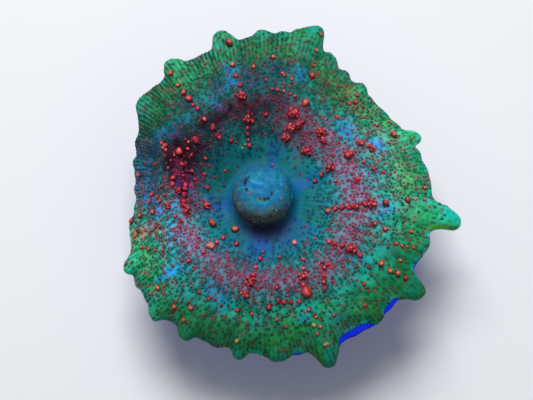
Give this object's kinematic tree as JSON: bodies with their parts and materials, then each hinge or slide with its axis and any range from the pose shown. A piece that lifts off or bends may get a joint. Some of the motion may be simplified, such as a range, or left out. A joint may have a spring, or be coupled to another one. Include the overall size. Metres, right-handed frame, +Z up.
{
  "type": "mushroom coral",
  "caption": "Ruffled mushroom coral polyp with a domed mouth on a short waisted column, cut flat under its foot to stand on a surface.",
  "frame": {"origin": "centre of the flat cut under the foot", "axes": "+Z up from the cut through the column to the disc; +X towards the margin's longest lobe, across the disc; the mouth leans 3 mm towards -X"},
  "size_m": [0.071, 0.0757, 0.0294],
  "materials": {
    "tissue": "moist satin",
    "vesicle": "moist gloss"
  },
  "bodies": {
    "root": {"polyp": "tissue"}
  },
  "joints": []
}
